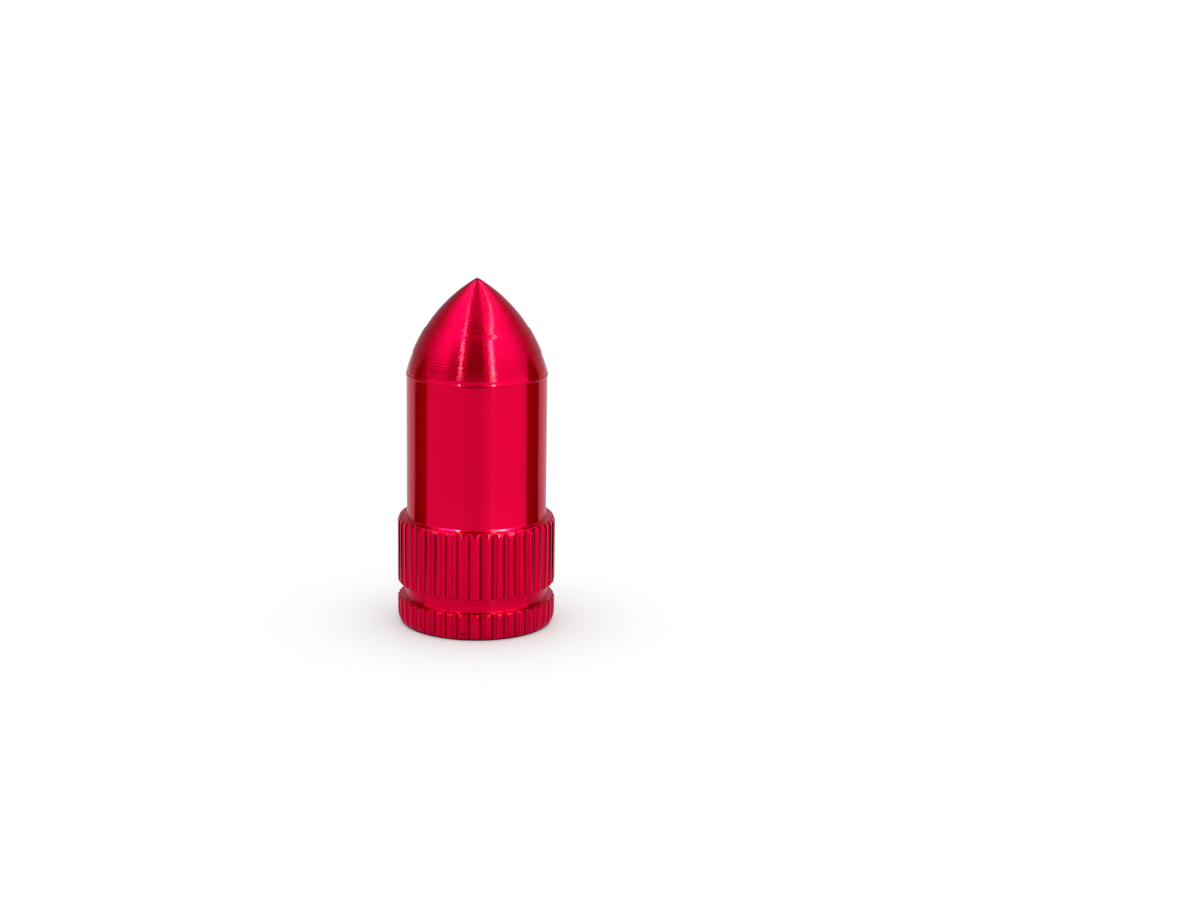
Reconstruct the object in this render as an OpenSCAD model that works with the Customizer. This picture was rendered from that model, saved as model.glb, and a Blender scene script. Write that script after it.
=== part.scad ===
// Tyre valve cap: a bullet-shaped cap turned from one bar of aluminium,
// with a straight-knurled collar and a rubber seal inside, at the end of the thread.
// The base stands on the plane Z = 0 and the axis is Z.

/* [Heights] */
// Height of the knurled ring at the base
ring_h = 1.9; // [1.4:0.1:3]
// Height of the turned groove above the ring
groove_h = 1.0; // [0.5:0.1:2]
// Height of the knurled collar
collar_h = 4.7; // [3:0.1:7]
// Height of the plain barrel
barrel_h = 10.0; // [8:0.1:14]
// Height of the lip between the barrel and the nose
lip_h = 0.2; // [0.1:0.05:0.4]
// Height of the nose, from the lip to the tip
nose_h = 6.45; // [5:0.05:10]

/* [Walls and steps] */
// Wall of the barrel around the seal's relief
barrel_wall = 0.83; // [0.5:0.01:2]
// Step from the barrel out to the teeth of the collar and of the ring
collar_step = 0.645; // [0.55:0.005:1.5]
// Depth of the turned groove below the teeth
groove_depth = 0.5; // [0.3:0.05:0.9]
// How far the lip stands out from the barrel
lip_out = 0.05; // [0.02:0.01:0.2]
// How far the foot of the nose is set in from the barrel
nose_inset = 0; // [0:0.01:0.2]

/* [Nose] */
// Lean of the nose at its foot, in degrees from the axis
nose_lean = 14.6; // [8:0.1:18]
// Radius of the rounded tip
tip_r = 0.16; // [0.1:0.02:0.6]
// Height above the lip at which the band round the nose begins
band_foot = 1.4; // [0.5:0.1:3]
// Height of the band round the nose
band_h = 1.5; // [0.5:0.1:3]
// How far the band stands out from the nose, from one turning pass to the next
band_out = 0.04; // [0.02:0.01:0.1]

/* [Knurl] */
// Number of teeth round the collar
teeth = 40; // [24:1:48]
// Depth of the grooves between the teeth
knurl_depth = 0.2; // [0.08:0.01:0.25]
// Width of the floor of a knurl groove
knurl_floor_w = 0.14; // [0.05:0.01:0.25]
// Lean of each flank of a knurl groove, in degrees from the radius
knurl_flank = 45; // [20:1:50]

/* [Edges] */
// Fillet between the barrel and the top of the collar
barrel_fillet = 0.2; // [0.1:0.05:0.3]
// Fillet at each foot of the turned groove
groove_fillet = 0.12; // [0.05:0.01:0.2]
// Width of the chamfer on the top edge of the collar
collar_chamfer_w = 0.25; // [0.1:0.05:0.3]
// Height of the chamfer on the top edge of the collar
collar_chamfer_h = 0.4; // [0.2:0.05:0.8]
// Chamfer on the top edge of the ring, and on the lower edge of the collar
small_chamfer = 0.12; // [0.05:0.01:0.2]
// Height of the rounding on the base edge
base_edge_h = 0.62; // [0.3:0.02:0.8]
// Width of the rounding on the base edge
base_edge_w = 0.27; // [0.2:0.01:0.4]
// Radius of the rounding on the base edge
base_edge_r = 1.4; // [0.8:0.1:3]
// Height of the sloping underside of the lip
lip_under_h = 0.06; // [0.02:0.01:0.08]

/* [Thread] */
// Outside diameter of the valve's thread
thread_d = 7.75; // [5.2:0.05:10]
// Height of the cap's thread: its crests, the bore, stand this far inside the valve's thread
thread_height = 0.375; // [0.2:0.025:0.5]
// Depth of the threaded bore from the base
thread_depth = 9.0; // [6:0.1:9.6]
// Depth of the countersink at the mouth
mouth_chamfer = 0.7; // [0.4:0.1:0.9]
// Clearance all round between the valve's thread and the relief at its end
relief_gap = 0.15; // [0.05:0.05:0.2]

/* [Seal] */
// Thickness of the rubber seal
seal_h = 1.5; // [1:0.1:2]
// Hole through the seal, for the valve's pin
seal_hole_d = 3.2; // [2.5:0.1:4.2]
// Clearance all round between the seal and the wall of the relief
seal_gap = 0.1; // [0.05:0.05:0.2]
// Room left between the seal and the end of the thread
seal_end_gap = 0.1; // [0.05:0.05:0.3]

/* [Pocket] */
// Width of the shoulder round the drilled pocket, which the seal lies against
shoulder_w = 1.525; // [0.8:0.025:2]
// Depth of the pocket above the seal
pocket_h = 2.0; // [1:0.1:3]
// Point angle of the drill that made the pocket, in degrees
drill_point = 118; // [90:1:140]

/* [Hidden] */
$fn = 180;
// Overshoot of cutting shapes past the faces that they cut
cut = 0.5;

// Radii, from the valve's thread outwards
thread_bore_r = thread_d / 2 - thread_height;
relief_r = thread_d / 2 + relief_gap;
seal_r = relief_r - seal_gap;
pocket_r = relief_r - shoulder_w;
barrel_r = relief_r + barrel_wall;
collar_r = barrel_r + collar_step;
groove_r = collar_r - groove_depth;
lip_r = barrel_r + lip_out;
nose_r = barrel_r - nose_inset;

// Heights above the base at which each stretch begins
groove_z = ring_h;
collar_z = groove_z + groove_h;
barrel_z = collar_z + collar_h;
lip_z = barrel_z + barrel_h;
nose_z = lip_z + lip_h;
total_h = nose_z + nose_h;
shoulder_z = thread_depth + seal_end_gap + seal_h;
pocket_end_z = shoulder_z + pocket_h;

// The nose is one arc that leaves its foot at nose_lean and runs smoothly into the round tip
tip_z = total_h - tip_r;
tip_rise = tip_z - nose_z;
ogive_r = (pow(nose_r, 2) + pow(tip_rise, 2) - pow(tip_r, 2))
    / (2 * (nose_r * cos(nose_lean) - tip_rise * sin(nose_lean) - tip_r));
ogive_x = nose_r - ogive_r * cos(nose_lean);
ogive_z = nose_z - ogive_r * sin(nose_lean);
tip_join_z = tip_z + tip_r * (tip_z - ogive_z) / (ogive_r - tip_r);

// Centre of the arc of the given radius that bulges outwards from its lower end p to its upper end q
function arc_centre(p, q, radius) =
    let (chord = q - p,
         half = norm(chord) / 2,
         inward = [-chord.y, chord.x] / norm(chord))
    (p + q) / 2 + inward * sqrt(pow(radius, 2) - pow(half, 2));

// Half of the ogive nose, its band and its round tip, seen in section
module nose_outline() {
    intersection() {
        translate([ogive_x, ogive_z]) circle(r = ogive_r);
        translate([0, nose_z]) square([nose_r, tip_join_z - nose_z]);
    }
    intersection() {
        translate([ogive_x, ogive_z]) circle(r = ogive_r + band_out);
        translate([0, nose_z + band_foot]) square([nose_r, band_h]);
    }
    intersection() {
        translate([0, tip_z]) circle(r = tip_r);
        translate([0, tip_join_z]) square([tip_r, total_h - tip_join_z]);
    }
}

// The lip slopes out under the edge and back in to the foot of the nose
module lip_outline() {
    polygon([
        [0, lip_z],
        [barrel_r, lip_z],
        [lip_r, lip_z + lip_under_h],
        [nose_r, nose_z],
        [0, nose_z]
    ]);
}

// A concave fillet of radius size in the corner at [x, y], on the side that up gives
module fillet_outline(x, y, size, up) {
    translate([x, y]) mirror([0, up ? 0 : 1]) difference() {
        square(size);
        translate([size, size]) circle(r = size, $fn = 48);
    }
}

module barrel_outline() {
    translate([0, barrel_z]) square([barrel_r, barrel_h]);
    fillet_outline(barrel_r, barrel_z, barrel_fillet, true);
}

module collar_outline() {
    polygon([
        [0, collar_z],
        [collar_r - small_chamfer, collar_z],
        [collar_r, collar_z + small_chamfer],
        [collar_r, barrel_z - collar_chamfer_h],
        [collar_r - collar_chamfer_w, barrel_z],
        [0, barrel_z]
    ]);
}

module groove_outline() {
    translate([0, groove_z]) square([groove_r, groove_h]);
    fillet_outline(groove_r, groove_z, groove_fillet, true);
    fillet_outline(groove_r, collar_z, groove_fillet, false);
}

// The ring: a small chamfer above, and a rounded edge where it meets the ground
module ring_outline() {
    edge_foot = [collar_r - base_edge_w, 0];
    edge_top = [collar_r, base_edge_h];
    polygon([
        [0, base_edge_h],
        edge_top,
        [collar_r, ring_h - small_chamfer],
        [collar_r - small_chamfer, ring_h],
        [0, ring_h]
    ]);
    polygon([[0, 0], edge_foot, edge_top, [0, base_edge_h]]);
    intersection() {
        translate([collar_r - base_edge_w, 0]) square([base_edge_w, base_edge_h]);
        translate(arc_centre(edge_foot, edge_top, base_edge_r)) circle(r = base_edge_r);
    }
}

module turned_blank() {
    rotate_extrude() {
        ring_outline();
        groove_outline();
        collar_outline();
        barrel_outline();
        lip_outline();
        nose_outline();
    }
}

// One straight groove of the knurl, cut through the collar and the ring in the same pass
module knurl_groove() {
    reach = knurl_depth + cut;
    mouth_w = knurl_floor_w + 2 * reach * tan(knurl_flank);
    translate([collar_r - knurl_depth, 0, -cut])
        linear_extrude(barrel_z + 2 * cut)
            polygon([
                [0, -knurl_floor_w / 2],
                [reach, -mouth_w / 2],
                [reach, mouth_w / 2],
                [0, knurl_floor_w / 2]
            ]);
}

// A tooth faces the front, so the grooves stand half a pitch to either side of it
module knurl() {
    pitch = 360 / teeth;
    for (i = [0 : teeth - 1])
        rotate(-90 + (i + 0.5) * pitch) knurl_groove();
}

// The hollow: countersink, threaded bore, relief for the seal, and the drilled pocket
module hollow() {
    rotate_extrude() {
        polygon([
            [0, -cut],
            [thread_bore_r + mouth_chamfer + cut, -cut],
            [thread_bore_r, mouth_chamfer],
            [0, mouth_chamfer]
        ]);
        square([thread_bore_r, thread_depth]);
        translate([0, thread_depth]) square([relief_r, shoulder_z - thread_depth]);
        polygon([
            [0, thread_depth],
            [pocket_r, thread_depth],
            [pocket_r, pocket_end_z],
            [0, pocket_end_z + pocket_r / tan(drill_point / 2)]
        ]);
    }
}

// The turned and knurled body of the cap
module cap_body() {
    color("crimson") difference() {
        turned_blank();
        knurl();
        hollow();
    }
}

// The flat rubber seal, which lies against the shoulder at the top of the relief
module seal_ring() {
    color("dimgray") translate([0, 0, shoulder_z - seal_h]) difference() {
        cylinder(r = seal_r, h = seal_h);
        translate([0, 0, -cut]) cylinder(d = seal_hole_d, h = seal_h + 2 * cut);
    }
}

cap_body();
seal_ring();
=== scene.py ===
"""Looks of a tyre valve cap: turned and knurled from one aluminium bar, anodised red, with a rubber seal.

The cap body is modelled in millimetres and brought to metres at the end. One tooth's slice of the
cap is swept from its section, copied round the axis, and then bored and threaded.
"""

from __future__ import annotations

import logging
import math
from dataclasses import dataclass, field, replace
from enum import Enum

import bmesh
import bpy
from mathutils import Euler, Matrix, Vector

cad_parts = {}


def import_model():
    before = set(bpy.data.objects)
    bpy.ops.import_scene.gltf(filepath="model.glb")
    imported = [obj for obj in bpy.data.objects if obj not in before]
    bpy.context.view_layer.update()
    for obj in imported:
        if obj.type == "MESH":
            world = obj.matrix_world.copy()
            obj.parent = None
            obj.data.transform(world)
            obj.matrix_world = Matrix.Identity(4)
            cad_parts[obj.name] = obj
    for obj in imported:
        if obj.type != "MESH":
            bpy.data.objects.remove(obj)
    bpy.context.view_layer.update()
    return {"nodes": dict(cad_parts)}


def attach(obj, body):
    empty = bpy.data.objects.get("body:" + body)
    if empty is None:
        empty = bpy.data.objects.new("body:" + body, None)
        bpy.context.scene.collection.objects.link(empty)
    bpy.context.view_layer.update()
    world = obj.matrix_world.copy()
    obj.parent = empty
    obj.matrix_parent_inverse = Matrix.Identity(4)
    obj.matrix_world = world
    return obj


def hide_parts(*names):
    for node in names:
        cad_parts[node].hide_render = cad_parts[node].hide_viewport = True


LOG = logging.getLogger("valve_cap")

MM = 0.001
"""One millimetre in metres, the unit of the finished scene."""

AXIS_POINT = (0.0, 0.0, 0.0)
"""A point on the axis of the cap, which every turning operation goes round."""

TEETH = 40
"""How many teeth the knurl has."""

FRONT = -90.0
"""The heading of the cap's front, in degrees from X."""

MERGE_DISTANCE = 1e-4
"""How close two vertices lie that are merged, in millimetres."""

SLICE_DISTANCE = 1e-5
"""How close to a slicing plane a vertex counts as on it, in millimetres."""

COLUMN_DISTANCE = 1e-3
"""How close to the middle of a column of faces a vertex counts as in it, in millimetres."""

ROUNDING_STEPS = 3
"""How many chords a rounded corner has."""

MEAN_NOISE = 0.5
"""The mean of noise that runs from 0 to 1."""

LEAST_DIVISOR = 0.001
"""What keeps a division from one by nothing."""

Point = tuple[float, float]
"""A point of a section: radius and height in millimetres."""

Colour = tuple[float, float, float]
"""Linear red, green and blue."""

Span = tuple[float, float]
"""Where a smooth change starts and where it ends. The end may lie below the start."""


class Joining(Enum):
    """What a boolean operation does with its tool."""

    CUT = "DIFFERENCE"
    FUSE = "UNION"


class Side(Enum):
    """The two sides of the cap, as the sign of X."""

    LEFT = -1
    RIGHT = 1


# Shader maths


class Value:
    """A socket of a material's node tree, with arithmetic that adds Math nodes."""

    def __init__(self, nodes: NodeBench, socket: bpy.types.NodeSocket) -> None:
        """Wraps a socket.

        Args:
            nodes: the bench that owns the node tree.
            socket: the output socket that carries the value.
        """
        self.nodes = nodes
        self.socket = socket

    def _math(self, operation: str, *terms: Value | float) -> Value:
        """Adds one Math node.

        Args:
            operation: the node's operation.
            terms: its inputs, in order.

        Returns:
            The node's result.
        """
        return self.nodes.add("ShaderNodeMath", {"operation": operation}, dict(enumerate(terms)))

    def __add__(self, other: Value | float) -> Value:
        """The sum."""
        return self._math("ADD", self, other)

    def __radd__(self, other: float) -> Value:
        """The sum, with a number on the left."""
        return self._math("ADD", other, self)

    def __sub__(self, other: Value | float) -> Value:
        """The difference."""
        return self._math("SUBTRACT", self, other)

    def __rsub__(self, other: float) -> Value:
        """The difference, with a number on the left."""
        return self._math("SUBTRACT", other, self)

    def __mul__(self, other: Value | float) -> Value:
        """The product."""
        return self._math("MULTIPLY", self, other)

    def __rmul__(self, other: float) -> Value:
        """The product, with a number on the left."""
        return self._math("MULTIPLY", other, self)

    def __truediv__(self, other: Value | float) -> Value:
        """The quotient."""
        return self._math("DIVIDE", self, other)

    def __abs__(self) -> Value:
        """The size without its sign."""
        return self._math("ABSOLUTE", self)

    def higher(self, other: Value | float) -> Value:
        """The higher of this value and another."""
        return self._math("MAXIMUM", self, other)

    def hypotenuse(self, other: Value) -> Value:
        """The length of a step that goes this far one way and another value's length across it."""
        return self._math("SQRT", self * self + other * other)

    def bearing(self, other: Value) -> Value:
        """The angle whose tangent is this value over another, in radians."""
        return self._math("ARCTAN2", self, other)

    def fraction(self) -> Value:
        """What the value has above the whole number below it."""
        return self._math("FRACT", self)

    def sine(self) -> Value:
        """The sine of the value, taken as radians."""
        return self._math("SINE", self)

    def band(self, centre: float, half_width: float, soft: float) -> Value:
        """A soft-edged band.

        Args:
            centre: where its middle lies.
            half_width: half its width at full strength.
            soft: how far its edges fade.

        Returns:
            The band's strength, from 0 to 1.
        """
        return abs(self - centre).ramp(half_width + soft, half_width)

    def ramp(self, start: float, end: float) -> Value:
        """A smooth step.

        Args:
            start: where the step leaves 0.
            end: where it reaches 1. It may lie below start, and the step then falls.

        Returns:
            The step's value.
        """
        if end < start:
            return 1.0 - self.ramp(end, start)
        return self.nodes.add(
            "ShaderNodeMapRange",
            {"interpolation_type": "SMOOTHSTEP", "clamp": True},
            {"Value": self, "From Min": start, "From Max": end},
        )


def between(first: Value | float, second: Value | float, share: Value) -> Value:
    """What lies between two values: the first at a share of 0, the second at 1."""
    return first + (second - first) * share


class NodeBench:
    """Builds a node tree: every node but the operators of Value comes from add."""

    def __init__(self, tree: bpy.types.NodeTree) -> None:
        """Empties a tree.

        Args:
            tree: the node tree to build in.
        """
        self.tree = tree
        tree.nodes.clear()

    def add(
        self,
        kind: str,
        settings: dict[str, object] | None = None,
        inputs: dict[int | str, object] | None = None,
        output: int | str = 0,
    ) -> Value:
        """Adds a node, sets it up and fills its sockets.

        Args:
            kind: the node's type.
            settings: its properties, set before its sockets are filled.
            inputs: a value, or another node's Value, for each socket by name or number.
            output: the socket that the result stands for.

        Returns:
            The chosen output socket.
        """
        node = self.tree.nodes.new(kind)
        for name, value in (settings or {}).items():
            setattr(node, name, value)
        for key, value in (inputs or {}).items():
            socket = node.inputs[key]
            if isinstance(value, Value):
                self.tree.links.new(value.socket, socket)
            else:
                socket.default_value = value
        outputs = node.outputs
        return Value(self, outputs[output]) if len(outputs) else Value(self, None)

    def place(self) -> Value:
        """The point of the surface in the object's own frame, in millimetres."""
        here = self.add("ShaderNodeTexCoord", output="Object")
        return self.scaled(here, (1.0 / MM, 1.0 / MM, 1.0 / MM))

    def scaled(self, vector: Value, scale: tuple[float, float, float]) -> Value:
        """A vector, stretched along each axis.

        Args:
            vector: the vector.
            scale: the stretch along X, Y and Z.

        Returns:
            The stretched vector.
        """
        return self.add("ShaderNodeVectorMath", {"operation": "MULTIPLY"}, {0: vector, 1: scale})

    def split(self, vector: Value) -> tuple[Value, Value, Value]:
        """Takes a vector apart.

        Args:
            vector: the vector.

        Returns:
            Its parts along X, Y and Z.
        """
        x = self.add("ShaderNodeSeparateXYZ", inputs={0: vector}, output="X")
        outputs = x.socket.node.outputs
        return x, Value(self, outputs["Y"]), Value(self, outputs["Z"])

    def noise(self, vector: Value, scale: float, detail: float) -> Value:
        """Smooth noise from 0 to 1.

        Args:
            vector: where the noise is read.
            scale: its frequency.
            detail: how many finer octaves it has.

        Returns:
            The noise.
        """
        sockets = {"Vector": vector, "Scale": scale, "Detail": detail}
        return self.add("ShaderNodeTexNoise", None, sockets, "Fac")

    def mix(self, share: Value, first: Value | Colour, second: Value | Colour) -> Value:
        """A mix of two colours.

        Args:
            share: 0 for the first colour, 1 for the second.
            first: the first colour.
            second: the second colour.

        Returns:
            The mixed colour.
        """
        sockets = {0: share, 6: opaque(first), 7: opaque(second)}
        return self.add("ShaderNodeMix", {"data_type": "RGBA"}, sockets, output=2)

    def bump(self, relief: Value, strength: float = 1.0) -> Value:
        """The normal that a relief in millimetres gives the surface."""
        sockets = {"Strength": strength, "Distance": MM, "Height": relief}
        return self.add("ShaderNodeBump", None, sockets)

    def principled(self, sockets: dict[int | str, object]) -> Value:
        """The shader of a solid surface, with the given sockets filled."""
        return self.add("ShaderNodeBsdfPrincipled", None, sockets)

    def cover(self, shader: Value) -> None:
        """Makes a shader the surface of the material."""
        self.add("ShaderNodeOutputMaterial", None, {"Surface": shader})


def opaque(colour: Value | Colour) -> Value | tuple[float, float, float, float]:
    """A plain colour with full alpha, as sockets want it. A node's colour stays as it is."""
    return colour if isinstance(colour, Value) else (*colour, 1.0)


def new_bench(name: str) -> tuple[bpy.types.Material, NodeBench]:
    """Makes an empty node material.

    Args:
        name: the material's name.

    Returns:
        The material and the bench that builds its nodes.
    """
    material = bpy.data.materials.new(name)
    material.use_nodes = True
    return material, NodeBench(material.node_tree)


# Finishes


@dataclass(frozen=True)
class Nick:
    """A small mark in the anodised skin.

    Attributes:
        place: its centre on the surface, in millimetres.
        radius: its radius in millimetres.
        colour: its colour: painted shade for a pit, pale for a speck.
    """

    place: tuple[float, float, float]
    radius: float
    colour: Colour


@dataclass(frozen=True)
class PaintedHighlight:
    """A painted highlight on a stretch of an edge, in front.

    Attributes:
        height: height of its middle, in millimetres.
        half_height: half its height.
        across: how far right of the axis its middle lies.
        half_width: half its width.
        colour: the colour of the painted highlight.
    """

    height: float
    half_height: float
    across: float
    half_width: float
    colour: Colour


@dataclass(frozen=True)
class Marks:
    """Marks that the tool left, as noise that is stretched round the axis.

    Attributes:
        level: how fast they change round and across the axis, per millimetre.
        upright: how fast they change along the axis.
        relief: how high they stand, in millimetres.
    """

    level: float
    upright: float
    relief: float = 0.0

    def noise(self, bench: NodeBench, place: Value) -> Value:
        """The marks at a point in millimetres, from 0 to 1."""
        stretched = bench.scaled(place, (self.level, self.level, self.upright))
        return bench.noise(stretched, scale=1.0, detail=3.0)


@dataclass(frozen=True)
class Spot:
    """A point of the metal's surface, in millimetres.

    Attributes:
        place: the point itself.
        right: how far it lies right of the axis.
        back: how far it lies behind the axis.
        height: its height above the base.
    """

    place: Value
    right: Value
    back: Value
    height: Value


@dataclass(frozen=True)
class AnodisedFinish:
    """Red anodised aluminium, bright from the lathe, with fine turning marks round the axis, painted
    shade in its knurl, under its lip, at its base's edge and at its tip, and painted highlights on edges
    in front.

    Lengths are in millimetres.

    Attributes:
        red: the dye as the metal shows it.
        deep_red: the dye down in the turning marks.
        painted_shade_red: the colour of the painted shade in the knurl, under the lip, at the base's edge
            and at the tip.
        roughness: the mean roughness of the barrel and the knurl.
        roughness_change: how much the turning marks change it.
        nose_roughness: the roughness of the nose between its coarser rings.
        torn_roughness: the roughness of those rings.
        grain: how much stronger the turning marks scatter along the axis than round it.
        grain_turn: the turn of that grain, as a share of a full one.
        skin: how much of the clear anodised skin shows as gloss.
        skin_ior: the index of that skin.
        skin_roughness: its roughness.
        rings: the coarser rings of the nose.
        streaks: the turning marks that the dye shows.
        fine: the finest marks.
        jags: the jagged edges of the rings.
        torn: where in their noise the rings are torn.
        streaked: where in their noise the streaks are dark.
        torn_shade: how dark a torn ring is.
        streak_shade: how dark a streak is.
        nose_foot: height of the foot of the nose.
        nose_fade: how far above and below it the nose's colour comes up.
        relief_fade: how far above and below it the nose's relief does.
        feed_rise: over what height above the foot the coarse feed rings come up.
        rings_high: height where those rings end.
        feed_fall: over what height they fade out there.
        ring_pitch: spacing of those rings.
        ring_wander: how far a ring strays from level.
        feed_relief: how high they stand.
        crease: height, half height and fade of the painted shade in the crease under the lip.
        crease_reach: how far to each side that painted shade shows.
        teeth: how many teeth the knurl has.
        groove_line: middle, half width and fade of the painted shade in a groove, a dark line, as shares
            of a pitch.
        groove_dark: how dark that line is in front.
        side_dark: how much darker the painted shade is toward the sides.
        side_reach: how far from the axis it gets darker.
        flank_line: middle, half width and fade of a fainter line of painted shade down the flank.
        flank_dark: how dark that line is.
        knurl_top: the heights at which the lines end on the collar.
        knurl_out: the radii at which they begin.
        base_edge: the heights at which painted shade darkens the edge of the base.
        tip: the heights at which painted shade darkens the tip.
        tip_dark: how dark it is.
        front: how far in front of the axis the painted highlights begin.
        highlight_core: the shares of a painted highlight's width and height that have its full colour.
        nick_core: the share of a nick's radius that has its full colour.
        painted_highlights: painted highlights on edges in front: on the lip, on the fillet above the
            collar and on the collar's top edge.
        nicks: small marks on the surface.
    """

    red: Colour = (0.74, 0.0012, 0.038)
    deep_red: Colour = (0.56, 0.0006, 0.022)
    painted_shade_red: Colour = (0.10, 0.0002, 0.003)
    roughness: float = 0.15
    roughness_change: float = 0.06
    nose_roughness: float = 0.09
    torn_roughness: float = 0.20
    grain: float = 1.0
    grain_turn: float = 0.25
    skin: float = 0.03
    skin_ior: float = 1.62
    skin_roughness: float = 0.10
    rings: Marks = Marks(0.5, 13.0, 0.0015)
    streaks: Marks = Marks(0.4, 12.0)
    fine: Marks = Marks(0.25, 20.0, 0.00025)
    jags: Marks = Marks(4.0, 5.0, 0.0110)
    torn: Span = (0.48, 0.66)
    streaked: Span = (0.5, 0.8)
    torn_shade: float = 0.4
    streak_shade: float = 0.25
    nose_foot: float = 17.8
    nose_fade: float = 0.05
    relief_fade: float = 0.1
    feed_rise: float = 0.3
    rings_high: float = 19.22
    feed_fall: float = 0.1
    ring_pitch: float = 0.2
    ring_wander: float = 0.06
    feed_relief: float = 0.0018
    crease: tuple[float, float, float] = (17.575, 0.03, 0.025)
    crease_reach: Span = (1.2, 0.4)
    teeth: int = TEETH
    groove_line: tuple[float, float, float] = (0.455, 0.05, 0.06)
    groove_dark: float = 0.74
    side_dark: float = 0.20
    side_reach: Span = (1.5, 4.0)
    flank_line: tuple[float, float, float] = (0.77, 0.02, 0.05)
    flank_dark: float = 0.38
    knurl_top: Span = (7.45, 7.35)
    knurl_out: Span = (5.2, 5.25)
    base_edge: Span = (0.14, 0.03)
    tip: Span = (24.0, 24.15)
    tip_dark: float = 0.8
    front: Span = (-1.0, -1.5)
    highlight_core: tuple[float, float] = (0.6, 0.4)
    nick_core: float = 0.3
    # Painted highlights: on the lip, on the fillet above the collar and on the collar's top edge.
    painted_highlights: tuple[PaintedHighlight, ...] = (
        PaintedHighlight(17.715, 0.05, -1.30, 0.40, (0.98, 0.010, 0.09)),
        PaintedHighlight(17.715, 0.05, 0.92, 0.45, (0.98, 0.010, 0.09)),
        PaintedHighlight(7.67, 0.07, -1.75, 0.85, (0.98, 0.055, 0.19)),
        PaintedHighlight(7.67, 0.07, 1.85, 0.95, (0.98, 0.055, 0.19)),
        PaintedHighlight(7.45, 0.12, -2.73, 0.18, (0.98, 0.19, 0.13)),
        PaintedHighlight(7.45, 0.10, -1.90, 0.18, (0.98, 0.06, 0.15)),
        PaintedHighlight(7.45, 0.10, 1.78, 0.18, (0.98, 0.03, 0.12)),
        PaintedHighlight(7.45, 0.12, 2.54, 0.18, (0.98, 0.19, 0.13)),
    )
    nicks: tuple[Nick, ...] = (
        # The first and the third are pits whose dark colour is painted shade; the second and the fourth
        # are pale specks.
        Nick((0.056, -3.2, 21.33), 0.10, (0.20, 0.0004, 0.006)),
        Nick((-2.617, -2.39, 20.82), 0.08, (0.98, 0.10, 0.24)),
        Nick((-0.84, -5.435, 0.5), 0.16, (0.16, 0.0004, 0.004)),
        Nick((0.57, -4.821, 15.99), 0.09, (0.90, 0.02, 0.10)),
    )

    def material(self) -> bpy.types.Material:
        """Builds the material.

        Returns:
            The finished material.
        """
        material, bench = new_bench("anodised_aluminium")
        place = bench.place()
        spot = Spot(place, *bench.split(place))
        low, high = self.nose_foot - self.nose_fade, self.nose_foot + self.nose_fade
        nose = spot.height.ramp(low, high)
        rings = self.rings.noise(bench, place)
        streaks = self.streaks.noise(bench, place)
        torn = rings.ramp(*self.torn)
        smooth_part = self.roughness + self.roughness_change * (streaks - MEAN_NOISE)
        nose_part = between(self.nose_roughness, self.torn_roughness, torn)
        shade = nose * torn * self.torn_shade + self.streak_shade * streaks.ramp(*self.streaked)
        dye = bench.mix(shade, self.red, self.deep_red)
        # Painted shade goes over the dye here: the knurl's lines, the crease under the lip, the base's
        # edge and the tip.
        dye = bench.mix(self.painted_shade(spot), dye, self.painted_shade_red)
        surface = bench.principled(
            {
                "Base Color": self.with_highlights_and_nicks(bench, spot, dye),
                "Metallic": 1.0,
                "Roughness": between(smooth_part, nose_part, nose),
                "Anisotropic": self.grain,
                "Anisotropic Rotation": self.grain_turn,
                "Coat Weight": self.skin,
                "Coat Roughness": self.skin_roughness,
                "Coat IOR": self.skin_ior,
                "Normal": bench.bump(self.relief(bench, spot, rings)),
            }
        )
        bench.cover(surface)
        return material

    def painted_shade(self, spot: Spot) -> Value:
        """Painted shade: dark lines in the knurl's grooves and down its flanks, a dark crease under the
        lip, the dark edge of the base and the dark tip.

        Args:
            spot: the point of the surface.

        Returns:
            How dark it is there, from 0 to 1.
        """
        # Painted shade: the knurl's dark lines, darker toward the sides, the lip's crease, the base's
        # edge and the tip.
        sideways = abs(spot.right)
        radius = spot.right.hypotenuse(spot.back)
        angle = sideways.bearing(0.0 - spot.back)
        pitch = (angle * (self.teeth / math.tau)).fraction()
        groove = pitch.band(*self.groove_line)
        groove = groove * (self.groove_dark + self.side_dark * sideways.ramp(*self.side_reach))
        knurl = groove.higher(self.flank_dark * pitch.band(*self.flank_line))
        knurl = knurl * spot.height.ramp(*self.knurl_top) * radius.ramp(*self.knurl_out)
        crease = spot.height.band(*self.crease) * sideways.ramp(*self.crease_reach)
        edges = spot.height.ramp(*self.base_edge)
        return knurl.higher(crease).higher(edges).higher(self.tip_dark * spot.height.ramp(*self.tip))

    def with_highlights_and_nicks(self, bench: NodeBench, spot: Spot, colour: Value) -> Value:
        """Lays the painted highlights and the nicks over the dye.

        Args:
            bench: the bench of the material.
            spot: the point of the surface.
            colour: the dye.

        Returns:
            The colour with the painted highlights and the nicks.
        """
        front = spot.back.ramp(*self.front)
        wide_core, high_core = self.highlight_core
        # Painted highlights on the edges in front.
        for highlight in self.painted_highlights:
            high = abs(spot.height - highlight.height).ramp(highlight.half_height, high_core * highlight.half_height)
            wide = abs(spot.right - highlight.across).ramp(highlight.half_width, wide_core * highlight.half_width)
            colour = bench.mix(front * high * wide, colour, highlight.colour)
        # Nicks: painted shade in the pits, pale specks elsewhere.
        for nick in self.nicks:
            sockets = {0: spot.place, 1: nick.place}
            away = bench.add("ShaderNodeVectorMath", {"operation": "DISTANCE"}, sockets, "Value")
            share = away.ramp(nick.radius, nick.radius * self.nick_core)
            colour = bench.mix(share, colour, nick.colour)
        return colour

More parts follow.
